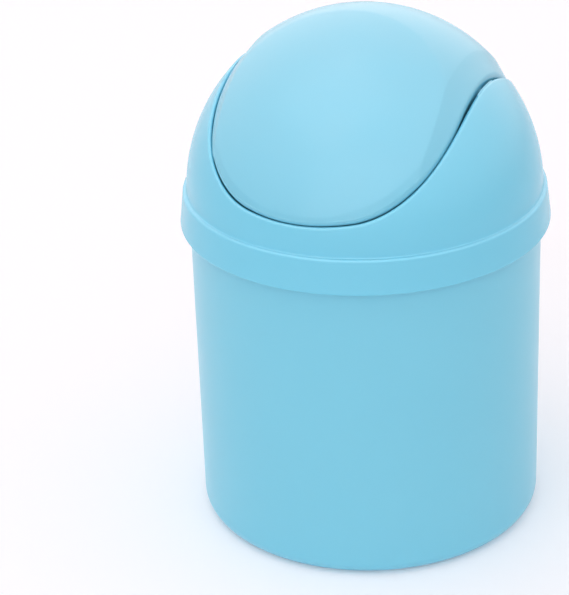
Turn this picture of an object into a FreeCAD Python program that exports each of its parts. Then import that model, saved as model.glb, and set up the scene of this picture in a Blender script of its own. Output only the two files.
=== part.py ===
import FreeCAD, Part
import math
import os
from FreeCAD import Vector

# Desktop trash can: a round bucket, a lift-off domed lid and a flap that swings in the lid.
# Millimetres, +Z up. The origin is the centre of the base, on the table.
# The flap's front lip faces -Y and its pivot axis lies along X.

# Shared
cut_overrun = 5.0            # how far a cutter reaches past what it cuts
match_tolerance = 0.005      # for finding an edge by its size and place

# Bucket
rim_radius = 59.2            # outside, at the rim
rim_height = 117.4           # top of the rim, which the lid sits on
bucket_taper = 0.3           # how much smaller the base is in radius than the rim
bucket_wall = 1.6
bucket_floor = 1.8
base_edge_radius = 5.0       # outside rounding between wall and base
foot_ring_width = 3.5        # flat ring that touches the table
foot_recess = 1.4            # height of the underside above the table
rim_band_height = 7.0        # thickened band inside the rim
rim_band_step = 0.7          # how much thicker the band is than the wall
rim_rounding = 0.5
gate_well_radius = 6.0       # shallow well round the moulding gate, in the underside
gate_well_depth = 0.5
gate_nub_radius = 1.3

# Lid
ledge_rise = 1.7             # ledge above the rim that carries the lid
ledge_width = 1.2            # flat step between the collar's top edge and the dome
skirt_height = 11.9          # ledge down to the skirt's lower edge
skirt_wall = 1.4
skirt_flare = 1.4            # how much wider the skirt is in radius at its lower edge
seat_clearance = 0.5         # round the rim, at the top of the skirt
lid_dome_rise = 58.4         # crown of the lid's dome above the ledge, before the mouth is cut
lid_wall = 1.1               # thin, so that the flap's lips swing clear of it
skirt_edge_rounding = 0.6
ledge_rounding = 1.0
ledge_root_radius = 0.5
grip_rib_count = 12          # ribs in the skirt that centre the lid on the rim
grip_rib_width = 1.4
grip_rib_height = 6.5
lid_slip = 0.3               # between the ribs and the rim

# Mouth: a U with a bowed lip, cut straight through the dome from front to back
mouth_half_width = 42.3
mouth_lip_height = 9.3       # lowest point of the mouth above the ledge
mouth_lip_radius = 120.0
mouth_corner_radius = 28.5

# Hanger tabs and studs inside the ears
hanger_radius = 7.0
hanger_thickness = 1.6
hanger_setback = 0.2         # the tab's face lies this far behind the mouth's side
pivot_drop = 4.5             # pivot axis below the crest of the ear
stud_radius = 2.2
stud_length = 4.6
stud_tip_length = 0.6        # chamfered tip, so the flap can be sprung in

# Flap
flap_gap = 0.9               # between flap and mouth, at the sides
lip_overlap = 0.3            # how far the flap's two lips reach down behind the mouth's
flap_sink = 1.0              # how far the flap lies inside the lid's dome at the ledge
flap_stand = 1.7             # crown of the flap above the crown of the lid's dome
flap_crown_wall = 1.2
flap_lip_wall = 2.6          # thicker low down, so that the flap hangs shut
flap_edge_rounding = 3.2
shoulder_width = 5.9         # bevel beside each ear, from its crease to the flap's side
shoulder_drop = 2.0          # how far the bevel lowers the flap's side edge
shoulder_blend = 14.0        # radius that softens the crease
panel_margin = 3.4           # between the flap's sides and the flatter round panel at its front
panel_curve = 74.0           # radius of the panel's own slight dome
panel_tilt = 51.0            # degrees that the panel faces upwards
panel_wall = 1.9             # thicker than the crown, which keeps the flap in balance
flap_rim_thickness = 2.2
flap_lip_rim_depth = 12.0    # the turned-in rim is deepest along the two lips, again as weight
flap_crown_rim_depth = 7.5
boss_radius = 5.0
boss_thickness = 3.2
pivot_clearance = 0.08

# Sizes and places that follow from those above
base_radius = rim_radius - bucket_taper
collar_top_radius = rim_radius + seat_clearance + skirt_wall
skirt_radius = collar_top_radius + skirt_flare
dome_base_radius = collar_top_radius - ledge_width
ledge_height = rim_height + ledge_rise
skirt_bottom = ledge_height - skirt_height
flap_dome_rise = lid_dome_rise + flap_stand
flap_half_width = mouth_half_width - flap_gap
panel_reach = flap_half_width - panel_margin
whole_height = ledge_height + flap_dome_rise
up = Vector(0, 0, 1)
across = Vector(1, 0, 0)
back = Vector(0, 1, 0)
middle = Vector(0, 0, 0)


def cap_radius(base, rise):
    """Radius of the sphere whose cap has this base radius and rise."""
    return (base * base + rise * rise) / (2 * rise)


def cap_centre(base, rise):
    """Height of that sphere's centre when the cap stands on the ledge."""
    return ledge_height + rise - cap_radius(base, rise)


def cap_ball(base, rise):
    """The whole sphere, with its poles on X so that no seam or pole crosses the mouth."""
    ball = Part.makeSphere(cap_radius(base, rise))
    ball.rotate(middle, back, 90)
    ball.translate(up * cap_centre(base, rise))
    return ball


def profile_point(radius, height):
    """Point of a turned profile, which is drawn behind the axis so that its seam is at the back."""
    return Vector(0, radius, height)


def line(start, end):
    return Part.makeLine(start, end)


def arc_about(centre, start, end):
    """Arc of less than half a turn from start to end about a centre."""
    bisector = (start - centre) + (end - centre)
    bisector.normalize()
    halfway = centre + bisector * (start - centre).Length
    return Part.Arc(start, halfway, end).toShape()


def turned(edges):
    """Solid of revolution about Z from a closed profile."""
    return Part.Face(Part.Wire(edges)).revolve(middle, up, 360)


def ring_edges(solid, radius, height):
    """Full circles of this radius at this height."""
    found = []
    for edge in solid.Edges:
        if edge.Degenerated:
            continue
        curve = edge.Curve
        if isinstance(curve, Part.Circle) and abs(curve.Radius - radius) < match_tolerance:
            if abs(curve.Center.z - height) < match_tolerance:
                found.append(edge)
    return found


def both_sides(piece):
    """A piece on the right and its mirror image on the left."""
    return [piece, piece.mirror(middle, across)]


def mouth_prism(inset):
    """The mouth's outline, drawn in by an inset, run through the dome from front to back."""
    reach = skirt_radius + cut_overrun
    top = whole_height + cut_overrun
    half_width = mouth_half_width - inset
    lip_radius = mouth_lip_radius - inset
    corner_x = mouth_half_width - mouth_corner_radius
    lip_centre_height = ledge_height + mouth_lip_height + mouth_lip_radius
    between_centres = mouth_lip_radius - mouth_corner_radius
    corner_height = lip_centre_height - math.sqrt(between_centres ** 2 - corner_x ** 2)
    lip_centre = Vector(0, -reach, lip_centre_height)
    right_centre = Vector(corner_x, -reach, corner_height)
    left_centre = Vector(-corner_x, -reach, corner_height)
    right_tangent = lip_centre + (right_centre - lip_centre).normalize() * lip_radius
    left_tangent = Vector(-right_tangent.x, -reach, right_tangent.z)
    right_side = Vector(half_width, -reach, corner_height)
    left_side = Vector(-half_width, -reach, corner_height)
    right_top = Vector(half_width, -reach, top)
    left_top = Vector(-half_width, -reach, top)
    outline = [
        arc_about(lip_centre, left_tangent, right_tangent),
        arc_about(right_centre, right_tangent, right_side),
        line(right_side, right_top),
        line(right_top, left_top),
        line(left_top, left_side),
        arc_about(left_centre, left_side, left_tangent),
    ]
    return Part.Face(Part.Wire(outline)).extrude(back * (2 * reach))


def pivot_height():
    """Height of the pivot axis, measured down from the crest of the ear."""
    radius = cap_radius(dome_base_radius, lid_dome_rise)
    crest = cap_centre(dome_base_radius, lid_dome_rise)
    crest += math.sqrt(radius ** 2 - mouth_half_width ** 2)
    return crest - pivot_drop


def make_bin_body():
    """Bucket: turned shell with a foot ring, a recessed underside and a thickened rim."""
    foot_outer = base_radius - base_edge_radius
    foot_inner = foot_outer - foot_ring_width
    floor_top = foot_recess + bucket_floor
    inner_edge_radius = base_edge_radius - bucket_wall
    inner_base = base_radius - bucket_wall
    inner_rim = rim_radius - bucket_wall
    band_bottom = rim_height - rim_band_height
    band_inner = inner_rim - rim_band_step
    edge_centre = profile_point(foot_outer, base_edge_radius)
    inner_centre = profile_point(inner_base - inner_edge_radius, floor_top + inner_edge_radius)
    corners = [
        profile_point(0, foot_recess),
        profile_point(foot_inner - foot_recess, foot_recess),
        profile_point(foot_inner, 0),
        profile_point(foot_outer, 0),
        profile_point(base_radius, base_edge_radius),
        profile_point(rim_radius, rim_height),
        profile_point(band_inner, rim_height),
        profile_point(band_inner, band_bottom),
        profile_point(inner_rim, band_bottom - rim_band_step),
        profile_point(inner_base, floor_top + inner_edge_radius),
        profile_point(inner_base - inner_edge_radius, floor_top),
        profile_point(0, floor_top),
    ]
    edges = [line(start, end) for start, end in zip(corners, corners[1:] + corners[:1])]
    edges[3] = arc_about(edge_centre, corners[3], corners[4])
    edges[9] = arc_about(inner_centre, corners[9], corners[10])
    body = turned(edges)
    rim_circles = ring_edges(body, rim_radius, rim_height) + ring_edges(body, band_inner, rim_height)
    body = body.makeFillet(rim_rounding, rim_circles)
    well = Part.makeCylinder(gate_well_radius, gate_well_depth, up * foot_recess)
    nub = Part.makeCylinder(gate_nub_radius, gate_well_depth, up * foot_recess)
    return body.cut(well.cut(nub))


def make_hanger():
    """Tab that hangs inside the right-hand ear, with the stud that the flap turns on."""
    axis_point = Vector(mouth_half_width, 0, pivot_height())
    tab_face = axis_point + across * hanger_setback
    tab = Part.makeCylinder(hanger_radius, hanger_thickness, tab_face, across)
    neck_start = tab_face - back * hanger_radius
    neck = Part.makeBox(hanger_thickness, 2 * hanger_radius, 2 * hanger_radius, neck_start)
    half_wall = lid_wall / 2
    under_dome = cap_ball(dome_base_radius - half_wall, lid_dome_rise - half_wall)
    tab = tab.fuse(neck).common(under_dome)
    shank_length = stud_length - stud_tip_length
    root_depth = hanger_setback + hanger_thickness / 2
    stud_root = axis_point + across * root_depth
    shank = Part.makeCylinder(stud_radius, shank_length + root_depth, stud_root, -across)
    tip_start = axis_point - across * shank_length
    tip = Part.makeCone(stud_radius, stud_radius - stud_tip_length, stud_tip_length, tip_start, -across)
    return tab.fuse([shank, tip])


def make_grip_rib(turn):
    """One rib in the skirt, from the underside of the ledge downwards."""
    inner = rim_radius + lid_slip
    outer = skirt_radius - skirt_wall
    start = Vector(inner, -grip_rib_width / 2, rim_height - grip_rib_height)
    rib = Part.makeBox(outer - inner, grip_rib_width, grip_rib_height + ledge_rise / 2, start)
    rib.rotate(middle, up, turn)
    return rib


def make_lid_dome():
    """Lid: turned skirt, ledge and dome, with the mouth cut out and hangers in the ears."""
    radius = cap_radius(dome_base_radius, lid_dome_rise)
    centre = profile_point(0, cap_centre(dome_base_radius, lid_dome_rise))
    inner_radius = radius - lid_wall
    seat_inner = math.sqrt(inner_radius ** 2 - (rim_height - centre.z) ** 2)
    corners = [
        profile_point(skirt_radius - skirt_wall, skirt_bottom),
        profile_point(skirt_radius, skirt_bottom),
        profile_point(collar_top_radius, ledge_height),
        profile_point(dome_base_radius, ledge_height),
        profile_point(0, centre.z + radius),
        profile_point(0, centre.z + inner_radius),
        profile_point(seat_inner, rim_height),
        profile_point(collar_top_radius - skirt_wall, rim_height),
    ]
    edges = [line(start, end) for start, end in zip(corners, corners[1:] + corners[:1])]
    edges[3] = arc_about(centre, corners[3], corners[4])
    edges[5] = arc_about(centre, corners[5], corners[6])
    lid = turned(edges)
    skirt_circles = ring_edges(lid, skirt_radius, skirt_bottom)
    lid = lid.makeFillet(skirt_edge_rounding, skirt_circles)
    lid = lid.makeFillet(ledge_rounding, ring_edges(lid, collar_top_radius, ledge_height))
    lid = lid.makeFillet(ledge_root_radius, ring_edges(lid, dome_base_radius, ledge_height))
    lid = lid.cut(mouth_prism(0))
    ribs = [make_grip_rib(360 * index / grip_rib_count) for index in range(grip_rib_count)]
    return lid.fuse(both_sides(make_hanger()) + ribs).removeSplitter()


def bevel_cones(base_radius, slope, height):
    """Two cones about the cross axis at a height, base to base, with their seams underneath."""
    cone = Part.makeCone(base_radius, 0, base_radius / slope, up * height, across)
    cone.rotate(up * height, across, 180)
    right, left = both_sides(cone)
    return right.fuse(left)


def panel_ball(dome_radius, dome_height, wall):
    """Large ball that flattens the front of the flap's dome, drawn in by a wall."""
    along = math.sqrt(dome_radius ** 2 - panel_reach ** 2) - math.sqrt(panel_curve ** 2 - panel_reach ** 2)
    tilt = math.radians(panel_tilt)
    ball = Part.makeSphere(panel_curve - wall)
    ball.rotate(middle, back, 90)
    ball.translate(up * (dome_height + along * math.sin(tilt)) - back * (along * math.cos(tilt)))
    return ball


def make_swing_flap():
    """Flap: a slice of its own dome, bevelled beside the ears and hollowed to leave a turned-in rim."""
    base = dome_base_radius - flap_sink
    lowered = -up * (flap_gap + lip_overlap)
    outline = mouth_prism(flap_gap).translated(lowered)
    inner_outline = mouth_prism(flap_gap + flap_rim_thickness).translated(lowered)
    ball_radius = cap_radius(base, flap_dome_rise)
    ball_height = cap_centre(base, flap_dome_rise)
    crease_offset = flap_half_width - shoulder_width
    crease_radius = math.sqrt(ball_radius ** 2 - crease_offset ** 2)
    side_radius = math.sqrt(ball_radius ** 2 - flap_half_width ** 2) - shoulder_drop
    slope = (crease_radius - side_radius) / shoulder_width
    cone_radius = crease_radius + slope * crease_offset
    dome = cap_ball(base, flap_dome_rise).common(bevel_cones(cone_radius, slope, ball_height))
    dome = dome.makeFillet(shoulder_blend, ring_edges(dome, crease_radius, ball_height))
    flap = dome.common(panel_ball(ball_radius, ball_height, 0)).common(outline)
    top_faces = [face for face in flap.Faces if not isinstance(face.Surface, (Part.Plane, Part.Cylinder))]
    top_edges = [edge for face in top_faces for edge in face.Edges]
    outer_edges = [edge for edge in top_edges if sum(edge.isSame(other) for other in top_edges) == 1]
    flap = flap.makeFillet(flap_edge_rounding, outer_edges)
    inner_cone_radius = cone_radius - flap_crown_wall * math.sqrt(1 + slope ** 2)
    inner_ball = cap_ball(base - flap_lip_wall, flap_dome_rise - flap_crown_wall)
    hollow = inner_ball.common(bevel_cones(inner_cone_radius, slope, ball_height)).common(inner_outline)
    hollow = hollow.common(panel_ball(ball_radius, ball_height, panel_wall))
    core = cap_ball(base - flap_lip_rim_depth, flap_dome_rise - flap_crown_rim_depth)
    flap = flap.cut(hollow).cut(core)
    cheek_face = Vector(flap_half_width, 0, pivot_height())
    half_rim = flap_rim_thickness / 2
    boss_start = cheek_face - across * half_rim
    boss = Part.makeCylinder(boss_radius, boss_thickness - half_rim, boss_start, -across)
    hole_start = cheek_face + across * cut_overrun
    hole_length = boss_thickness + 2 * cut_overrun
    hole = Part.makeCylinder(stud_radius + pivot_clearance, hole_length, hole_start, -across)
    return flap.fuse(both_sides(boss)).cut(both_sides(hole)).removeSplitter()


pieces = {
    "bin_body": make_bin_body(),
    "lid_dome": make_lid_dome(),
    "swing_flap": make_swing_flap(),
}

os.makedirs("parts", exist_ok=True)
for name, piece in pieces.items():
    solid = piece.Solids[0]
    solid.exportStep("parts/" + name + ".step")
    print(name, "solids", len(piece.Solids), "valid", solid.isValid(), "volume", round(solid.Volume, 1))
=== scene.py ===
import math

import bmesh
import bpy
import numpy as np
from mathutils import Matrix, Vector


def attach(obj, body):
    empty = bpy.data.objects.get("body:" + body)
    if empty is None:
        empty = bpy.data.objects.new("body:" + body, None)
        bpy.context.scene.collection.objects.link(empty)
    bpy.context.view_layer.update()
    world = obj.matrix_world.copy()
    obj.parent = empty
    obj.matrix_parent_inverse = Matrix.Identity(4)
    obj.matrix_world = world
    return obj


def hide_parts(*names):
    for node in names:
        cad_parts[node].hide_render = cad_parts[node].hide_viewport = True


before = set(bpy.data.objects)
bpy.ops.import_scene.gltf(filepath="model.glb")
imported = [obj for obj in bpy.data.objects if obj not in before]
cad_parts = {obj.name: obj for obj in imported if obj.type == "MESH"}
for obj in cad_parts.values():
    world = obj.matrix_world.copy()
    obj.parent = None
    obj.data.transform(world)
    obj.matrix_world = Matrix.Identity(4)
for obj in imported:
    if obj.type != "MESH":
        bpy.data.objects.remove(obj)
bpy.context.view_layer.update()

# Bucket
# A deep round tub of pale blue polypropylene, moulded in one shot with almost no draft.
# It stands on a foot ring, its underside is recessed with a gate well in the middle,
# and a thicker band stiffens the rim that carries the lid.
rim_radius = 0.0592
rim_height = 0.1174
base_radius = 0.0589
wall = 0.0016
floor_top = 0.0032
base_edge = 0.0050
foot_width = 0.0035
foot_recess = 0.0014
rim_band_height = 0.0070
rim_band_step = 0.0007
rim_rounding = 0.0005
gate_well_radius = 0.0060
gate_well_depth = 0.0005
gate_nub_radius = 0.0013
round_segments = 240
support = 0.0004             # distance of the loop that holds a face flat beside a rounding
longest_step = 0.0060        # between loops along a straight stretch
weld_distance = 1e-7
corner_angle = math.radians(38)
gloss_spread = 0.02


def run(start, end):
    """Points along a straight stretch of a profile, without its end, held flat at both ends."""
    start, end = np.array(start, float), np.array(end, float)
    length = np.linalg.norm(end - start)
    shares = [0.0]
    if length > 4 * support:
        inner = max(1, math.ceil((length - 2 * support) / longest_step))
        shares += [(support + (length - 2 * support) * k / inner) / length for k in range(inner + 1)]
    return [tuple(start + (end - start) * share) for share in shares]


def bend(centre, radius, start_degrees, end_degrees, steps):
    """Points round an arc of a profile, without its end."""
    degrees = [start_degrees + (end_degrees - start_degrees) * k / steps for k in range(steps)]
    angles = [math.radians(d) for d in degrees]
    return [(centre[0] + radius * math.cos(a), centre[1] + radius * math.sin(a)) for a in angles]


def turned_rings(profile, azimuths):
    """One ring of points round Z for each point of a profile."""
    return [np.stack([r * np.cos(azimuths), r * np.sin(azimuths), np.full(len(azimuths), z)], -1)
            for r, z in profile]


def skin(name, rings, first_pole=None, last_pole=None, wrap=False):
    """A closed mesh over rings of equal count, ended by two poles or wrapped round on itself."""
    count = len(rings[0])
    points = [tuple(p) for ring in rings for p in ring]
    faces = []
    pairs = list(zip(range(len(rings) - 1), range(1, len(rings))))
    if wrap:
        pairs.append((len(rings) - 1, 0))
    for a, b in pairs:
        for k in range(count):
            n = (k + 1) % count
            faces.append((a * count + k, a * count + n, b * count + n, b * count + k))
    for pole, ring in ((first_pole, 0), (last_pole, len(rings) - 1)):
        if pole is not None:
            points.append(tuple(pole))
            tip = len(points) - 1
            start = ring * count
            faces += [(tip, start + k, start + (k + 1) % count) for k in range(count)]
    mesh = bpy.data.meshes.new(name)
    mesh.from_pydata(points, [], faces)
    return finished(name, mesh)


def finished(name, mesh):
    """An object for a closed mesh: doubles merged, faces turned outwards, smooth but for its corners."""
    shell = bmesh.new()
    shell.from_mesh(mesh)
    bmesh.ops.remove_doubles(shell, verts=shell.verts, dist=weld_distance)
    bmesh.ops.recalc_face_normals(shell, faces=shell.faces)
    shell.to_mesh(mesh)
    shell.free()
    mesh.shade_smooth()
    mesh.set_sharp_from_angle(angle=corner_angle)
    piece = bpy.data.objects.new(name, mesh)
    bpy.context.scene.collection.objects.link(piece)
    return piece


def moulded_plastic(name, light, deep, roughness, grain):
    """Satin polypropylene: slow tint clouds, patches of gloss and a fine spark-eroded grain."""
    material = bpy.data.materials.new(name)
    material.use_nodes = True
    nodes, links = material.node_tree.nodes, material.node_tree.links
    shader = nodes["Principled BSDF"]
    shader.inputs["IOR"].default_value = 1.49
    shader.inputs["Subsurface Weight"].default_value = 0.12
    shader.inputs["Subsurface Radius"].default_value = (0.6, 1.0, 1.2)
    shader.inputs["Subsurface Scale"].default_value = 0.0012
    place = nodes.new("ShaderNodeTexCoord")
    clouds = nodes.new("ShaderNodeTexNoise")
    clouds.inputs["Scale"].default_value = 26.0
    clouds.inputs["Detail"].default_value = 3.0
    tint = nodes.new("ShaderNodeMix")
    tint.data_type = "RGBA"
    tint.inputs["A"].default_value = (*deep, 1.0)
    tint.inputs["B"].default_value = (*light, 1.0)
    gloss_patches = nodes.new("ShaderNodeTexNoise")
    gloss_patches.inputs["Scale"].default_value = 70.0
    gloss_patches.inputs["Detail"].default_value = 4.0
    gloss = nodes.new("ShaderNodeMapRange")
    gloss.inputs["From Min"].default_value = 0.3
    gloss.inputs["From Max"].default_value = 0.7
    gloss.inputs["To Min"].default_value = roughness - gloss_spread
    gloss.inputs["To Max"].default_value = roughness + gloss_spread
    fine = nodes.new("ShaderNodeTexNoise")
    fine.inputs["Scale"].default_value = 3200.0
    fine.inputs["Detail"].default_value = 2.0
    relief = nodes.new("ShaderNodeBump")
    relief.inputs["Strength"].default_value = grain
    relief.inputs["Distance"].default_value = 0.00005
    for texture in (clouds, gloss_patches, fine):
        links.new(place.outputs["Object"], texture.inputs["Vector"])
    links.new(clouds.outputs["Fac"], tint.inputs["Factor"])
    links.new(tint.outputs["Result"], shader.inputs["Base Color"])
    links.new(gloss_patches.outputs["Fac"], gloss.inputs["Value"])
    links.new(gloss.outputs["Result"], shader.inputs["Roughness"])
    links.new(fine.outputs["Fac"], relief.inputs["Height"])
    links.new(relief.outputs["Normal"], shader.inputs["Normal"])
    return material


foot_outer = base_radius - base_edge
foot_inner = foot_outer - foot_width
inner_edge = base_edge - wall
inner_base = base_radius - wall
inner_rim = rim_radius - wall
band_inner = inner_rim - rim_band_step
band_bottom = rim_height - rim_band_height
well_top = foot_recess + gate_well_depth
tub_profile = (
    run((gate_nub_radius, foot_recess), (gate_nub_radius, well_top))
    + run((gate_nub_radius, well_top), (gate_well_radius, well_top))
    + run((gate_well_radius, well_top), (gate_well_radius, foot_recess))
    + run((gate_well_radius, foot_recess), (foot_inner - foot_recess, foot_recess))
    + run((foot_inner - foot_recess, foot_recess), (foot_inner, 0))
    + run((foot_inner, 0), (foot_outer, 0))
    + bend((foot_outer, base_edge), base_edge, -90, 0, steps=14)
    + run((base_radius, base_edge), (rim_radius, rim_height - rim_rounding))
    + bend((rim_radius - rim_rounding, rim_height - rim_rounding), rim_rounding, 0, 90, steps=6)
    + run((rim_radius - rim_rounding, rim_height), (band_inner + rim_rounding, rim_height))
    + bend((band_inner + rim_rounding, rim_height - rim_rounding), rim_rounding, 90, 180, steps=6)
    + run((band_inner, rim_height - rim_rounding), (band_inner, band_bottom))
    + run((band_inner, band_bottom), (inner_rim, band_bottom - rim_band_step))
    + run((inner_rim, band_bottom - rim_band_step), (inner_base, floor_top + inner_edge))
    + bend((inner_base - inner_edge, floor_top + inner_edge), inner_edge, 0, -90, steps=10)
    + run((inner_base - inner_edge, floor_top), (gate_nub_radius, floor_top))
)
turn = np.linspace(0, 2 * math.pi, round_segments, endpoint=False)
bucket = skin("bucket", turned_rings(tub_profile, turn), (0, 0, foot_recess), (0, 0, floor_top))
body_plastic = moulded_plastic("body_plastic", light=(0.182, 0.554, 0.708), deep=(0.174, 0.540, 0.692),
                               roughness=0.30, grain=0.10)
bucket.data.materials.append(body_plastic)
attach(bucket, "bucket")
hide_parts("bin_body")

# Lid
# One polypropylene moulding that slips over the bucket's rim: a flared skirt, a ledge and a thin dome.
# A mouth is cut through the dome from front to back, with a bowed lip and large round corners,
# which leaves an ear on each side. The edges that show have small moulded roundings.
seat_clearance = 0.0005      # between the skirt and the bucket's rim
skirt_wall = 0.0014
skirt_flare = 0.0014
skirt_height = 0.0119
ledge_rise = 0.0017
ledge_width = 0.0012
collar_top_radius = rim_radius + seat_clearance + skirt_wall
skirt_radius = collar_top_radius + skirt_flare
ledge_height = rim_height + ledge_rise
skirt_bottom = ledge_height - skirt_height
dome_base_radius = collar_top_radius - ledge_width
dome_rise = 0.0584
dome_wall = 0.0011
dome_rings = 28
skirt_edge_rounding = 0.0006
ledge_rounding = 0.0010
ledge_root = 0.0005
mouth_half_width = 0.0423
mouth_lip_height = 0.0093
mouth_lip_radius = 0.120
mouth_corner_radius = 0.0285
mouth_edge_rounding = 0.00085
mouth_inner_rounding = 0.00015
quarter_count = 90           # points along a quarter of the mouth, from an ear's crest to a lip's middle
fine_count = 900             # points along its side and its corner, before it is divided evenly
lip_count = 400              # points along its lip, before it is divided evenly
corner_step = 0.0002         # radians


def cap(base, rise):
    """Radius of the ball whose cap has this base and rise, and the height of its centre on the ledge."""
    radius = (base * base + rise * rise) / (2 * rise)
    return radius, ledge_height + rise - radius


def mouth_line(ball, inset=0.0, lowered=0.0, sag=0.0):
    """The mouth's outline on a ball, drawn in by an inset: points, ball normals and side normals."""
    radius, centre = ball
    half_width = mouth_half_width - inset
    corner_x = mouth_half_width - mouth_corner_radius
    lip_centre = ledge_height + mouth_lip_height + mouth_lip_radius - lowered
    between = mouth_lip_radius - mouth_corner_radius
    corner_z = lip_centre - math.sqrt(between ** 2 - corner_x ** 2)
    lip_turn = math.asin(corner_x / between)
    corner_radius = mouth_corner_radius - inset
    lip_radius = mouth_lip_radius - inset
    side_reach = radius ** 2 - half_width ** 2 - (corner_z - centre) ** 2
    side_y = np.zeros(0)
    if side_reach > 0:
        side_y = math.sqrt(side_reach) * np.linspace(0, 1, fine_count)[:-1]
    side_z = centre + np.sqrt(radius ** 2 - half_width ** 2 - side_y ** 2)
    # On a small ball the outline starts part of the way round the corner.
    corner_start = math.pi / 2
    while (math.hypot(corner_x + corner_radius * math.sin(corner_start),
                      corner_z - corner_radius * math.cos(corner_start) - centre) > radius):
        corner_start -= corner_step
    corner_turn = corner_start + (lip_turn - corner_start) * np.linspace(0, 1, fine_count)[:-1] ** 2
    lip_turns = np.linspace(lip_turn, 0, lip_count)
    x = np.concatenate([np.full(len(side_y), half_width), corner_x + corner_radius * np.sin(corner_turn),
                        lip_radius * np.sin(lip_turns)])
    z = np.concatenate([side_z, corner_z - corner_radius * np.cos(corner_turn),
                        lip_centre - lip_radius * np.cos(lip_turns)])
    z = z - sag * np.clip(1 - (x / (2 * corner_x)) ** 2, 0, 1) ** 2 * (z < corner_z)
    y = -np.sqrt(np.maximum(radius ** 2 - x ** 2 - (z - centre) ** 2, 0))
    turns = np.concatenate([np.full(len(side_y), math.pi / 2), corner_turn, lip_turns])
    points = np.stack([x, y, z], -1)
    normals = np.stack([np.sin(turns), np.zeros(len(turns)), -np.cos(turns)], -1)
    travel = np.concatenate([[0], np.cumsum(np.linalg.norm(np.diff(points, axis=0), axis=1))])
    stations = np.linspace(0, travel[-1], quarter_count)
    points = np.stack([np.interp(stations, travel, points[:, k]) for k in range(3)], -1)
    normals = np.stack([np.interp(stations, travel, normals[:, k]) for k in range(3)], -1)
    flip_x, flip_y = np.array([-1, 1, 1]), np.array([1, -1, 1])
    around = []
    for line in (points, normals):
        front = np.concatenate([line[:-1], (line * flip_x)[::-1][:-1]])
        around.append(np.concatenate([front, (front * flip_y * flip_x)]))
    points, normals = around
    outward = points - np.array([0, 0, centre])
    outward *= radius / np.linalg.norm(outward, axis=1)[:, None]
    normals /= np.linalg.norm(normals, axis=1)[:, None]
    return outward + np.array([0, 0, centre]), outward / radius, normals


def rounded_edge(edge, first_normal, second_normal, radius, steps):
    """Rings that round an edge off between two faces, from the first face to the second."""
    lean = np.sum(first_normal * second_normal, axis=1)[:, None]
    centre = edge - radius * (first_normal + second_normal) / (1 + lean)
    angle = np.arccos(np.clip(lean, -1, 1))
    rings = []
    for k in range(steps + 1):
        share = k / steps
        normal = np.sin((1 - share) * angle) * first_normal + np.sin(share * angle) * second_normal
        rings.append(centre + radius * (normal / np.sin(angle)))
    return rings


def ring_between(low, high, share, ball):
    """Ring part of the way from one ring on a ball to another, kept on the ball."""
    radius, centre = ball
    ring = low + (high - low) * share - np.array([0, 0, centre])
    return ring * (radius / np.linalg.norm(ring, axis=1)[:, None]) + np.array([0, 0, centre])


dome = cap(dome_base_radius, dome_rise)
dome_inside = (dome[0] - dome_wall, dome[1])
edge, dome_normal, side_normal = mouth_line(dome)
inner_edge_line, inner_normal, inner_side = mouth_line(dome_inside)
azimuth = np.arctan2(edge[:, 1], edge[:, 0])
lean_angle = math.atan2(skirt_radius - collar_top_radius, ledge_height - skirt_bottom)


def skirt_face(height):
    """Radius of the skirt's flared outside at a height."""
    return collar_top_radius + (ledge_height - height) * math.tan(lean_angle)


lean_degrees = math.degrees(lean_angle)
low_bend = (skirt_face(skirt_bottom + skirt_edge_rounding) - skirt_edge_rounding / math.cos(lean_angle),
            skirt_bottom + skirt_edge_rounding)
high_bend = (skirt_face(ledge_height - ledge_rounding) - ledge_rounding / math.cos(lean_angle),
             ledge_height - ledge_rounding)
skirt_face_low = (low_bend[0] + skirt_edge_rounding * math.cos(lean_angle),
                  low_bend[1] + skirt_edge_rounding * math.sin(lean_angle))
skirt_face_high = (high_bend[0] + ledge_rounding * math.cos(lean_angle),
                   high_bend[1] + ledge_rounding * math.sin(lean_angle))
skirt_profile = (
    run((skirt_radius - skirt_wall, skirt_bottom), (low_bend[0], skirt_bottom))
    + bend(low_bend, skirt_edge_rounding, -90, lean_degrees, steps=6)
    + run(skirt_face_low, skirt_face_high)
    + bend(high_bend, ledge_rounding, lean_degrees, 90, steps=7)
    + run((high_bend[0], ledge_height), (dome_base_radius + ledge_root, ledge_height))
    + bend((dome_base_radius + ledge_root, ledge_height + ledge_root), ledge_root, -90, -180, steps=5)
)
outside = turned_rings(skirt_profile, azimuth)
dome_foot = turned_rings([(math.sqrt(dome[0] ** 2 - (ledge_height + ledge_root - dome[1]) ** 2),
                           ledge_height + ledge_root)], azimuth)[0]
mouth_rounding = rounded_edge(edge, dome_normal, -side_normal, mouth_edge_rounding, steps=6)
outside += [ring_between(dome_foot, mouth_rounding[0], k / dome_rings, dome) for k in range(dome_rings)]
inner_rounding = rounded_edge(inner_edge_line, -inner_side, -inner_normal, mouth_inner_rounding, steps=3)
seat_radius = math.sqrt(dome_inside[0] ** 2 - (rim_height - dome_inside[1]) ** 2)
seat = turned_rings([(seat_radius, rim_height)], azimuth)[0]
inside = [ring_between(inner_rounding[-1], seat, k / dome_rings, dome_inside)
          for k in range(1, dome_rings)]
skirt_inside = (
    run((seat_radius, rim_height), (collar_top_radius - skirt_wall, rim_height))
    + run((collar_top_radius - skirt_wall, rim_height), (skirt_radius - skirt_wall, skirt_bottom))
)
inside += turned_rings(skirt_inside, azimuth)
lid = skin("lid_shell", outside + mouth_rounding + inner_rounding + inside, wrap=True)
lid_plastic = moulded_plastic("lid_plastic", light=(0.166, 0.556, 0.730), deep=(0.158, 0.543, 0.715),
                              roughness=0.25, grain=0.08)
lid.data.materials.append(lid_plastic)
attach(lid, "lid")
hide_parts("lid_dome")

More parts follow.
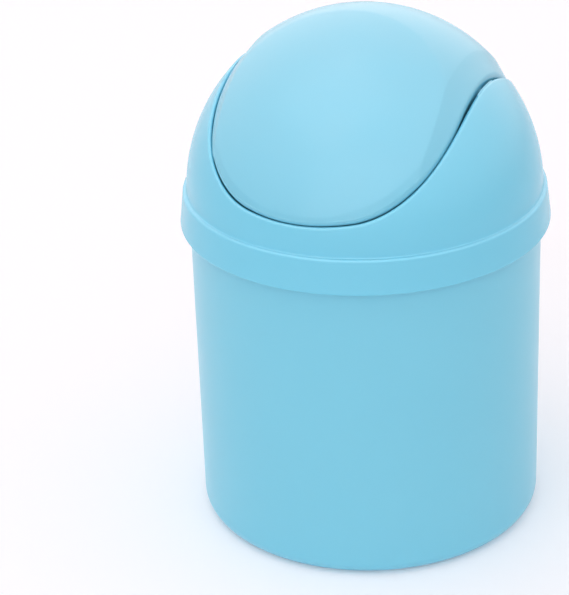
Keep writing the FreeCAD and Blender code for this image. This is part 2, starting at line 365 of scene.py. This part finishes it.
# Grip ribs
# Twelve short ribs moulded inside the skirt, which centre the lid on the bucket's rim.
# One rounded bar is set out round the rim, with its back sunk in the skirt's flared wall.
rib_count = 12
rib_width = 0.0014
rib_height = 0.0065
rib_rounding = 0.0003
lid_slip = 0.0003            # between a rib and the bucket's rim
rib_inner_radius = rim_radius + lid_slip
rib_depth = skirt_radius - skirt_wall - rib_inner_radius


def node_inputs(tree, sizes):
    """Named inputs of a node tree with their default sizes."""
    for label, value in sizes.items():
        kind = "NodeSocketInt" if isinstance(value, int) else "NodeSocketFloat"
        tree.interface.new_socket(label, in_out="INPUT", socket_type=kind).default_value = value
    tree.interface.new_socket("Geometry", in_out="OUTPUT", socket_type="NodeSocketGeometry")


rib_tree = bpy.data.node_groups.new("rib_ring", "GeometryNodeTree")
node_inputs(rib_tree, {"Count": rib_count, "Ring Radius": rib_inner_radius + rib_depth / 2,
                       "Ring Height": rim_height, "Rib Depth": rib_depth, "Rib Width": rib_width,
                       "Rib Height": rib_height, "Rounding": rib_rounding})
nodes, links = rib_tree.nodes, rib_tree.links
sizes = nodes.new("NodeGroupInput")
result = nodes.new("NodeGroupOutput")
outline = nodes.new("GeometryNodeCurvePrimitiveQuadrilateral")
links.new(sizes.outputs["Rib Depth"], outline.inputs["Width"])
links.new(sizes.outputs["Rib Width"], outline.inputs["Height"])
fillet = nodes.new("GeometryNodeFilletCurve")
fillet.mode = "POLY"
fillet.inputs["Count"].default_value = 4
links.new(outline.outputs["Curve"], fillet.inputs["Curve"])
links.new(sizes.outputs["Rounding"], fillet.inputs["Radius"])
drop_by = nodes.new("ShaderNodeMath")
drop_by.operation = "MULTIPLY"
drop_by.inputs[1].default_value = -1.0
links.new(sizes.outputs["Rib Height"], drop_by.inputs[0])
foot = nodes.new("ShaderNodeCombineXYZ")
links.new(drop_by.outputs["Value"], foot.inputs["Z"])
spine = nodes.new("GeometryNodeCurvePrimitiveLine")
links.new(foot.outputs["Vector"], spine.inputs["End"])
bar = nodes.new("GeometryNodeCurveToMesh")
bar.inputs["Fill Caps"].default_value = True
links.new(spine.outputs["Curve"], bar.inputs["Curve"])
links.new(fillet.outputs["Curve"], bar.inputs["Profile Curve"])
circle = nodes.new("GeometryNodeMeshCircle")
links.new(sizes.outputs["Count"], circle.inputs["Vertices"])
links.new(sizes.outputs["Ring Radius"], circle.inputs["Radius"])
lift = nodes.new("ShaderNodeCombineXYZ")
links.new(sizes.outputs["Ring Height"], lift.inputs["Z"])
raised = nodes.new("GeometryNodeSetPosition")
links.new(circle.outputs["Mesh"], raised.inputs["Geometry"])
links.new(lift.outputs["Vector"], raised.inputs["Offset"])
place = nodes.new("GeometryNodeInputPosition")
flat = nodes.new("ShaderNodeVectorMath")
flat.operation = "MULTIPLY"
flat.inputs[1].default_value = (1.0, 1.0, 0.0)
links.new(place.outputs["Position"], flat.inputs[0])
facing = nodes.new("FunctionNodeAlignRotationToVector")
facing.axis = "X"
facing.pivot_axis = "Z"
links.new(flat.outputs["Vector"], facing.inputs["Vector"])
ring = nodes.new("GeometryNodeInstanceOnPoints")
links.new(raised.outputs["Geometry"], ring.inputs["Points"])
links.new(bar.outputs["Mesh"], ring.inputs["Instance"])
links.new(facing.outputs["Rotation"], ring.inputs["Rotation"])
real = nodes.new("GeometryNodeRealizeInstances")
links.new(ring.outputs["Instances"], real.inputs["Geometry"])
coat = nodes.new("GeometryNodeSetMaterial")
coat.inputs["Material"].default_value = lid_plastic
links.new(real.outputs["Geometry"], coat.inputs["Geometry"])
links.new(coat.outputs["Geometry"], result.inputs["Geometry"])
ribs = bpy.data.objects.new("grip_ribs", bpy.data.meshes.new("grip_ribs"))
bpy.context.scene.collection.objects.link(ribs)
pattern = ribs.modifiers.new("rib_ring", "NODES")
pattern.node_group = rib_tree
rib_mesh = bpy.data.meshes.new_from_object(ribs.evaluated_get(bpy.context.evaluated_depsgraph_get()))
ribs.modifiers.remove(pattern)
ribs.data = rib_mesh
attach(ribs, "lid")

# Hanger tabs and studs
# Inside each ear a rounded tab hangs from the dome, and a stud with a chamfered tip stands on it.
# They are moulded with the lid, and the flap is sprung on to the two studs.
hanger_radius = 0.0070
hanger_thickness = 0.0016
hanger_setback = 0.0002
stud_radius = 0.0022
stud_length = 0.0046
stud_tip = 0.0006
stud_root_radius = 0.0004
root_points = 6
tab_edge = 0.00025           # rounding of a tab's face
tab_points = 40              # along its round foot, and along its top
pivot_drop = 0.0045          # below the ears' crests
pivot_segments = 64
pivot_height = dome[1] + math.sqrt(dome[0] ** 2 - mouth_half_width ** 2) - pivot_drop
tab_face = mouth_half_width + hanger_setback


def cross_rings(profile, height, count):
    """One ring of points about the cross axis at a height for each (x, radius) of a profile."""
    turns = np.linspace(0, 2 * math.pi, count, endpoint=False)
    return [np.stack([np.full(count, x), r * np.cos(turns), height + r * np.sin(turns)], -1)
            for x, r in profile]


def tab_ring(x, shrink=0.0):
    """Outline of a tab at x: round below, straight sides, and a top that ends in the dome's wall."""
    reach = hanger_radius - shrink
    face = np.full(tab_points, x)
    half_turn = np.linspace(math.pi, 2 * math.pi, tab_points)
    low = np.stack([face, reach * np.cos(half_turn), pivot_height + reach * np.sin(half_turn)], -1)
    top_y = np.linspace(reach, -reach, tab_points)
    in_wall = dome[0] - dome_wall / 2
    top = np.stack([face, top_y, dome[1] + np.sqrt(in_wall ** 2 - x ** 2 - top_y ** 2)], -1)
    return np.concatenate([low, top])


mid_edge = tab_edge * 0.3    # halfway round that rounding
tab_back = tab_face + hanger_thickness
tab_rings = [tab_ring(tab_face, tab_edge), tab_ring(tab_face + mid_edge, mid_edge),
             tab_ring(tab_face + tab_edge), tab_ring(tab_back)]
tab = skin("tab_right", tab_rings, (tab_face, 0, pivot_height), (tab_back, 0, pivot_height))
root = [(tab_face - stud_root_radius * (1 - math.cos(a)),
         stud_radius + stud_root_radius * (1 - math.sin(a)))
        for a in np.linspace(0, math.pi / 2, root_points)]
stud_tip_x = mouth_half_width - stud_length
stud_profile = ([(tab_face + hanger_thickness / 2, stud_radius + stud_root_radius)] + root
                + [(stud_tip_x + stud_tip, stud_radius), (stud_tip_x, stud_radius - stud_tip)])
stud = skin("stud_right", cross_rings(stud_profile, pivot_height, pivot_segments),
            (tab_face + hanger_thickness / 2, 0, pivot_height), (stud_tip_x, 0, pivot_height))


def on_both_sides(name, pieces):
    """One object from several pieces and their mirror images across the middle plane."""
    joined = bmesh.new()
    for piece in pieces:
        joined.from_mesh(piece.data)
        bpy.data.objects.remove(piece)
    copy = bmesh.ops.duplicate(joined, geom=joined.verts[:] + joined.edges[:] + joined.faces[:])
    for item in copy["geom"]:
        if isinstance(item, bmesh.types.BMVert):
            item.co.x = -item.co.x
    mesh = bpy.data.meshes.new(name)
    joined.to_mesh(mesh)
    joined.free()
    return finished(name, mesh)


hangers = on_both_sides("hangers", [tab, stud])
hangers.data.materials.append(lid_plastic)
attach(hangers, "lid")

# Flap
# The swinging polypropylene panel that fills the mouth: a dome of its own with a flatter front, bevelled
# beside the ears, with a broad rounding and a rim turned in all round. It hangs by holes in two bosses.
flap_gap = 0.0009
lip_overlap = 0.0003         # how far the lips reach below the mouth's own lips
flap_sink = 0.0010           # inside the lid's dome at its foot
flap_stand = 0.0017          # above the lid's dome at its crown
flap_base_radius = dome_base_radius - flap_sink
flap_rise = dome_rise + flap_stand
flap_edge_rounding = 0.0032
flap_lip_rounding = 0.0020   # tighter in the middle of the two lips
lip_sag = 0.0003             # how much lower the lips' middles hang
shoulder_width = 0.0059      # of the bevel beside each ear
shoulder_drop = 0.0020
panel_reach = 0.0380         # half the width of the flatter front
panel_curve = 0.074
panel_tilt = math.radians(51)
panel_wall = 0.0019
crease_softness = 0.0001
flap_crown_wall = 0.0012
flap_lip_wall = 0.0026
flap_rim_thickness = 0.0022
flap_lip_rim = 0.0120
flap_crown_rim = 0.0075
boss_radius = 0.0050
boss_thickness = 0.0032
pivot_clearance = 0.00008
face_probe = 0.0005          # distance at which the face's slope beside its edge is taken
edge_strip = 0.0150          # width of the closely divided strip beside the edge
past_rounding = 1.02         # the strip ends just clear of the edge's rounding
crown_rings = 64
strip_rings = 36
hollow_rings = 50
cheek_loops = (0.06, 0.4, 0.8, 0.95, 1.0)  # shares of the way down the rim's outer face
foot_loops = (0.15, 0.85, 1.0)             # across its foot
rim_loops = (0.1, 0.5, 0.95, 1.0)          # and up its inner face
flap_ball = cap(flap_base_radius, flap_rise)
flap_hollow = cap(flap_base_radius - flap_lip_wall, flap_rise - flap_crown_wall)
flap_core = cap(flap_base_radius - flap_lip_rim, flap_rise - flap_crown_rim)
flap_half_width = mouth_half_width - flap_gap
crease = flap_half_width - shoulder_width
crease_radius = math.sqrt(flap_ball[0] ** 2 - crease ** 2)
side_radius = math.sqrt(flap_ball[0] ** 2 - flap_half_width ** 2) - shoulder_drop
slope = (crease_radius - side_radius) / shoulder_width
cone_radius = crease_radius + slope * crease
inner_cone_radius = cone_radius - flap_crown_wall * math.sqrt(1 + slope ** 2)
panel_along = (math.sqrt(flap_ball[0] ** 2 - panel_reach ** 2)
               - math.sqrt(panel_curve ** 2 - panel_reach ** 2))
inner_curve = panel_curve - panel_wall


def formed(ring, cone, curve):
    """A ring on the flap's dome, lowered softly to the bevels beside the ears and the flatter front."""
    out = ring - np.array([0, 0, flap_ball[1]])
    reach = np.hypot(out[:, 1], out[:, 2])
    facing = panel_along * (out[:, 2] * math.sin(panel_tilt) - out[:, 1] * math.cos(panel_tilt)) / reach
    panel = facing + np.sqrt(facing ** 2 - panel_along ** 2 - out[:, 0] ** 2 + curve ** 2)
    lowered = reach
    for limit in (cone - slope * np.abs(out[:, 0]), panel):
        over = lowered - limit
        lowered = lowered - (over + np.sqrt(over ** 2 + crease_softness ** 2)) / 2
    out[:, 1:] *= (lowered / reach)[:, None]
    return out + np.array([0, 0, flap_ball[1]])


def inward(line, normals, distance, ball):
    """A closed line on a ball moved over the ball towards its crown by a distance, square to itself."""
    radius, centre = ball
    along = np.roll(line, -1, axis=0) - np.roll(line, 1, axis=0)
    towards = np.cross(normals, along)
    towards /= np.linalg.norm(towards, axis=1)[:, None]
    towards *= np.sign(towards[:, 2])[:, None]
    angle = np.broadcast_to(np.asarray(distance / radius), (len(line),))[:, None]
    return (normals * np.cos(angle) + towards * np.sin(angle)) * radius + np.array([0, 0, centre])


drop = flap_gap + lip_overlap
ball_edge, ball_normal, cheek_normal = mouth_line(flap_ball, flap_gap, drop, lip_sag)
flap_edge = formed(ball_edge, cone_radius, panel_curve)
beside = formed(inward(ball_edge, ball_normal, face_probe, flap_ball), cone_radius, panel_curve)
along_edge = np.roll(flap_edge, -1, axis=0) - np.roll(flap_edge, 1, axis=0)
flap_normal = np.cross(along_edge, beside - flap_edge)
flap_normal /= np.linalg.norm(flap_normal, axis=1)[:, None]
flap_normal *= np.sign(np.sum(flap_normal * ball_normal, axis=1))[:, None]
lip_share = np.clip(-cheek_normal[:, 2], 0, 1) ** 4  # 1 in a lip's middle, 0 at the sides
edge_rounding = flap_edge_rounding + (flap_lip_rounding - flap_edge_rounding) * lip_share
rounding_reach = edge_rounding * np.tan(np.arccos(np.sum(flap_normal * cheek_normal, axis=1)) / 2)
crown = np.array([0, 0, flap_ball[1] + flap_ball[0]])
field_edge = inward(ball_edge, ball_normal, edge_strip, flap_ball)
crowns = np.broadcast_to(crown, field_edge.shape)
panel_rings = [formed(ring_between(crowns, field_edge, k / crown_rings, flap_ball),
                      cone_radius, panel_curve) for k in range(1, crown_rings)]
for k in range(strip_rings):
    distance = edge_strip + (rounding_reach * past_rounding - edge_strip) * k / (strip_rings - 1)
    strip_line = inward(ball_edge, ball_normal, distance, flap_ball)
    panel_rings.append(formed(strip_line, cone_radius, panel_curve))
panel_rings += rounded_edge(flap_edge, flap_normal, cheek_normal, edge_rounding[:, None], steps=12)
cheek_foot = mouth_line(flap_core, flap_gap, drop, lip_sag)[0]
rim_foot = mouth_line(flap_core, flap_gap + flap_rim_thickness, drop, lip_sag)[0]
hollow_edge = mouth_line(flap_hollow, flap_gap + flap_rim_thickness, drop)[0]
rim_top = formed(hollow_edge, inner_cone_radius, inner_curve)
cheek_top = panel_rings[-1]
panel_rings += [cheek_top + (cheek_foot - cheek_top) * share for share in cheek_loops]
panel_rings += [cheek_foot + (rim_foot - cheek_foot) * share for share in foot_loops]
panel_rings += [rim_foot + (rim_top - rim_foot) * share for share in rim_loops]
inner_crown = np.array([0, 0, flap_hollow[1] + flap_hollow[0]])
inner_crowns = np.broadcast_to(inner_crown, hollow_edge.shape)
panel_rings += [formed(ring_between(hollow_edge, inner_crowns, k / hollow_rings, flap_hollow),
                       inner_cone_radius, inner_curve) for k in range(1, hollow_rings)]
crown = formed(crown[None], cone_radius, panel_curve)[0]
inner_crown = formed(inner_crown[None], inner_cone_radius, inner_curve)[0]
panel = skin("panel", panel_rings, crown, inner_crown)


def rod(name, start, end, radius):
    """A round rod along the cross axis, on both sides, at the pivot's height."""
    one = skin(name, cross_rings([(start, radius), (end, radius)], pivot_height, pivot_segments),
               (start, 0, pivot_height), (end, 0, pivot_height))
    return on_both_sides(name, [one])


bosses = rod("bosses", flap_half_width - flap_rim_thickness / 2, flap_half_width - boss_thickness,
             boss_radius)
holes = rod("holes", flap_half_width + boss_thickness, flap_half_width - 2 * boss_thickness,
            stud_radius + pivot_clearance)
for step, tool in (("UNION", bosses), ("DIFFERENCE", holes)):
    trim = panel.modifiers.new(step, "BOOLEAN")
    trim.operation = step
    trim.solver = "EXACT"
    trim.object = tool
trimmed = bpy.data.meshes.new_from_object(panel.evaluated_get(bpy.context.evaluated_depsgraph_get()))
for helper in (panel, bosses, holes):
    bpy.data.objects.remove(helper)
flap = finished("flap_panel", trimmed)
# The flap is the same blue plastic as the lid and the bucket, but its colour is set about 5% darker:
# painted shade that offsets the stronger light and gloss on its up-turned face.
flap_plastic = moulded_plastic("flap_plastic", light=(0.170, 0.515, 0.670), deep=(0.163, 0.503, 0.656),
                               roughness=0.25, grain=0.08)
flap.data.materials.clear()
flap.data.materials.append(flap_plastic)
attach(flap, "flap")
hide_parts("swing_flap")

# Floor, light and camera
# A white paper sweep in a light tent that grows brighter upwards, with two softboxes.
# The can is seen from a little to the right of its front, and from above.
floor_reach = 4.0
tent_light = 0.82            # falls on the can and the floor
tent_gleam_low = 1.7         # mirrored in glossy surfaces from the sides
tent_gleam_high = 4.9        # and from above
tent_seen = 1.05             # seen by the camera behind the can
floor_mesh = bpy.data.meshes.new("floor")
floor_corners = [(-floor_reach, -floor_reach, 0), (floor_reach, -floor_reach, 0),
                 (floor_reach, floor_reach, 0), (-floor_reach, floor_reach, 0)]
floor_mesh.from_pydata(floor_corners, [], [(0, 1, 2, 3)])
floor = bpy.data.objects.new("floor", floor_mesh)
bpy.context.scene.collection.objects.link(floor)
paper = bpy.data.materials.new("white_sweep")
paper.use_nodes = True
paper_shader = paper.node_tree.nodes["Principled BSDF"]
paper_shader.inputs["Base Color"].default_value = (0.95, 0.905, 0.925, 1)
paper_shader.inputs["Emission Color"].default_value = (1.0, 0.97, 1.0, 1)
paper_shader.inputs["Emission Strength"].default_value = 0.09
paper_shader.inputs["Roughness"].default_value = 0.7
paper_shader.inputs["Specular IOR Level"].default_value = 0.2
floor_mesh.materials.append(paper)

world = bpy.data.worlds.new("studio")
bpy.context.scene.world = world
world.use_nodes = True
studio = world.node_tree
tent = studio.nodes["Background"]
tent.inputs["Color"].default_value = (1.0, 0.99, 1.0, 1)
direction = studio.nodes.new("ShaderNodeTexCoord")
bright_side = studio.nodes.new("ShaderNodeVectorMath")
bright_side.operation = "DOT_PRODUCT"
bright_side.inputs[1].default_value = (0.03, -0.05, 0.95)
upward = studio.nodes.new("ShaderNodeMapRange")
upward.inputs["From Max"].default_value = 0.9
upward.inputs["To Min"].default_value = tent_gleam_low
upward.inputs["To Max"].default_value = tent_gleam_high
ray = studio.nodes.new("ShaderNodeLightPath")
strength = studio.nodes.new("ShaderNodeMix")
strength.inputs["A"].default_value = tent_light
backdrop = studio.nodes.new("ShaderNodeMix")
backdrop.inputs["B"].default_value = tent_seen
for start, end in ((direction.outputs["Generated"], bright_side.inputs[0]),
                   (bright_side.outputs["Value"], upward.inputs["Value"]),
                   (ray.outputs["Is Glossy Ray"], strength.inputs["Factor"]),
                   (upward.outputs["Result"], strength.inputs["B"]),
                   (ray.outputs["Is Camera Ray"], backdrop.inputs["Factor"]),
                   (strength.outputs["Result"], backdrop.inputs["A"]),
                   (backdrop.outputs["Result"], tent.inputs["Strength"])):
    studio.links.new(start, end)


def softbox(name, place, target, size, power):
    """A square soft light at a place, turned to a target."""
    lamp = bpy.data.lights.new(name, "AREA")
    lamp.size = size
    lamp.energy = power
    light = bpy.data.objects.new(name, lamp)
    light.location = place
    light.rotation_euler = (Vector(target) - Vector(place)).to_track_quat("-Z", "Y").to_euler()
    bpy.context.scene.collection.objects.link(light)


softbox("overhead", place=(-0.3, -0.3, 1.35), target=(0, 0, 0.1), size=1.0, power=2.0)
softbox("front_fill", place=(0.25, -1.6, 0.8), target=(0, 0, 0.1), size=1.6, power=5.0)

camera_azimuth = math.radians(22.5)
camera_elevation = math.radians(26.84)
camera_roll = -0.0206
camera_distance = 0.8265
target_height = 0.075
focal_pixels = 2400.0
frame_width, frame_height = 569, 595
target_pixel = (366.84, 299.97)
pan = math.atan((target_pixel[0] - frame_width / 2) / focal_pixels)
tilt = math.atan((target_pixel[1] - frame_height / 2) / focal_pixels)
lens = bpy.data.cameras.new("camera")
lens.sensor_width = 36.0
lens.lens = focal_pixels * lens.sensor_width / frame_height
camera = bpy.data.objects.new("camera", lens)
stand = Vector((0, -camera_distance * math.cos(camera_elevation),
                target_height + camera_distance * math.sin(camera_elevation)))
camera.matrix_world = (Matrix.Rotation(camera_azimuth, 4, "Z") @ Matrix.Translation(stand)
                       @ Matrix.Rotation(math.pi / 2 - camera_elevation, 4, "X")
                       @ Matrix.Rotation(pan, 4, "Y") @ Matrix.Rotation(tilt, 4, "X")
                       @ Matrix.Rotation(camera_roll, 4, "Z"))
bpy.context.scene.collection.objects.link(camera)
bpy.context.scene.camera = camera
bpy.context.scene.view_settings.view_transform = "Standard"
